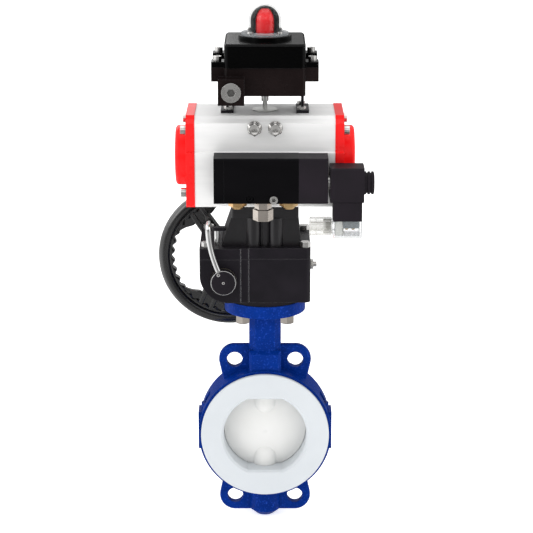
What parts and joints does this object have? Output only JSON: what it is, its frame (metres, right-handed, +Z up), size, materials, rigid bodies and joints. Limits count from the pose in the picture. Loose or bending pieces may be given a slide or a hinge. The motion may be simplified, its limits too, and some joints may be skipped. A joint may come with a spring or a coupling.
{
  "type": "pneumatic actuated butterfly valve",
  "caption": "Lined wafer butterfly valve with a rack-and-pinion air actuator, solenoid valve, declutchable gear override with handwheel, and position switch box.",
  "frame": {"origin": "where the pipe axis crosses the stem axis, at the middle of the valve body", "axes": "+Z up the stem towards the switch box, Y along the pipe with -Y the solenoid valve's side, +X to the right seen from there"},
  "size_m": [0.2402, 0.1615, 0.5924],
  "materials": {
    "blue_paint": "blue epoxy paint on ductile iron, slightly orange-peeled, satin gloss",
    "liner_white": "moulded PTFE, smooth, cool white, faint sheen",
    "disc_white": "PFA-coated disc, warm white, faint moulding marks",
    "stainless": "turned stainless steel",
    "zinc_steel": "bright zinc-plated steel fasteners",
    "chrome_rod": "polished chromed rod",
    "gear_black": "black powder coat on cast iron, fine texture, satin",
    "wheel_black": "black stove enamel on the handwheel, semi-gloss",
    "cast_steel": "machined cast iron and bronze running parts",
    "alu_silver": "clear hard-anodised extrusion, matte, fine draw lines along its length",
    "alu_cast": "plain die-cast aluminium pistons",
    "red_paint": "red polyester powder coat, gloss",
    "block_black": "black anodised aluminium block, satin",
    "plastic_black": "black glass-filled nylon, fine grain",
    "box_black": "black lacquered die-casting, glossy",
    "brass": "machined brass",
    "nickel": "nickel-plated brass, slightly dull",
    "clear_plastic": "clear polycarbonate",
    "pale_plastic": "milky translucent gland nut",
    "bush_white": "acetal and PTFE bushes",
    "seal_rubber": "nitrile rubber seal",
    "indicator_red": "red and black moulded indicator"
  },
  "bodies": {
    "frame": {"valve_body_upper": "blue_paint", "valve_body_lower": "blue_paint", "body_screws": "zinc_steel", "flange_bolts": "zinc_steel", "seat_liner": "liner_white", "stem_bushes": "bush_white", "gearbox_housing": "gear_black", "gearbox_cover": "gear_black", "cover_bolts": "zinc_steel", "stop_screw": "zinc_steel", "yoke": "gear_black", "yoke_screws": "zinc_steel", "actuator_body": "alu_silver", "end_cap_left": "red_paint", "end_cap_right": "red_paint", "cap_screws": "zinc_steel", "travel_stops": "zinc_steel", "valve_block": "block_black", "block_screws": "zinc_steel", "pilot_body": "plastic_black", "armature_tube": "stainless", "coil": "plastic_black", "coil_nut": "plastic_black", "din_base": "plastic_black", "din_housing": "clear_plastic", "gland_nut": "pale_plastic", "silencers": "brass", "inlet_fitting": "nickel", "switch_bracket": "gear_black", "bracket_bolts": "zinc_steel", "switch_base": "box_black", "switch_lid": "box_black", "lid_screws": "zinc_steel", "entry_plug": "zinc_steel", "microswitches": "plastic_black", "dome_base": "box_black", "dome": "clear_plastic", "dome_screws": "zinc_steel"},
    "drive_train": {"valve_disc": "disc_white", "stem": "stainless", "worm_wheel": "cast_steel", "coupling_shaft": "stainless", "pinion": "stainless", "switch_shaft": "stainless", "switch_cams": "plastic_black", "indicator_rotor": "indicator_red"},
    "left_piston": {"piston_left": "alu_cast", "piston_seal_left": "seal_rubber"},
    "right_piston": {"piston_right": "alu_cast", "piston_seal_right": "seal_rubber"},
    "clutch": {"eccentric_sleeve": "cast_steel", "sleeve_cap": "gear_black", "declutch_lever": "chrome_rod"},
    "handwheel_drive": {"worm_shaft": "stainless", "handwheel": "wheel_black", "handwheel_nut": "zinc_steel"},
    "latch": {"latch_pin": "chrome_rod", "latch_bar": "gear_black"},
    "valve_spool": {"spool": "alu_cast"},
    "pilot_armature": {"armature": "stainless"}
  },
  "joints": [
    {"name": "declutch", "type": "hinge", "parent": "frame", "child": "clutch", "pos_m": [-0.0455, 0, 0.189], "axis": [0, 1, 0], "range_deg": [-90, 0]},
    {"name": "handwheel_turn", "type": "hinge", "parent": "clutch", "child": "handwheel_drive", "pos_m": [-0.041, 0, 0.189], "axis": [0, 1, 0], "range_deg": [0, 3240]},
    {"name": "stem_turn", "type": "hinge", "parent": "frame", "child": "drive_train", "pos_m": [0, 0, 0], "axis": [0, 0, 1], "range_deg": [0, 90]},
    {"name": "left_piston_slide", "type": "slide", "parent": "frame", "child": "left_piston", "axis": [-1, 0, 0], "range_m": [0, 0.0252]},
    {"name": "right_piston_slide", "type": "slide", "parent": "frame", "child": "right_piston", "axis": [1, 0, 0], "range_m": [0, 0.0252]},
    {"name": "latch_lift", "type": "slide", "parent": "frame", "child": "latch", "axis": [0, 0, 1], "range_m": [0, 0.006], "stiffness_N_per_m": 200, "springref_m": -0.006},
    {"name": "spool_shift", "type": "slide", "parent": "frame", "child": "valve_spool", "axis": [1, 0, 0], "range_m": [0, 0.004]},
    {"name": "armature_pull", "type": "slide", "parent": "frame", "child": "pilot_armature", "axis": [1, 0, 0], "range_m": [0, 0.0015], "stiffness_N_per_m": 400, "springref_m": -0.003}
  ],
  "couplings": [
    {"joint": "stem_turn", "follows": "handwheel_turn", "ratio": 0.027778},
    {"joint": "left_piston_slide", "follows": "handwheel_turn", "m_per_rad": 0.00044444},
    {"joint": "right_piston_slide", "follows": "handwheel_turn", "m_per_rad": 0.00044444}
  ]
}
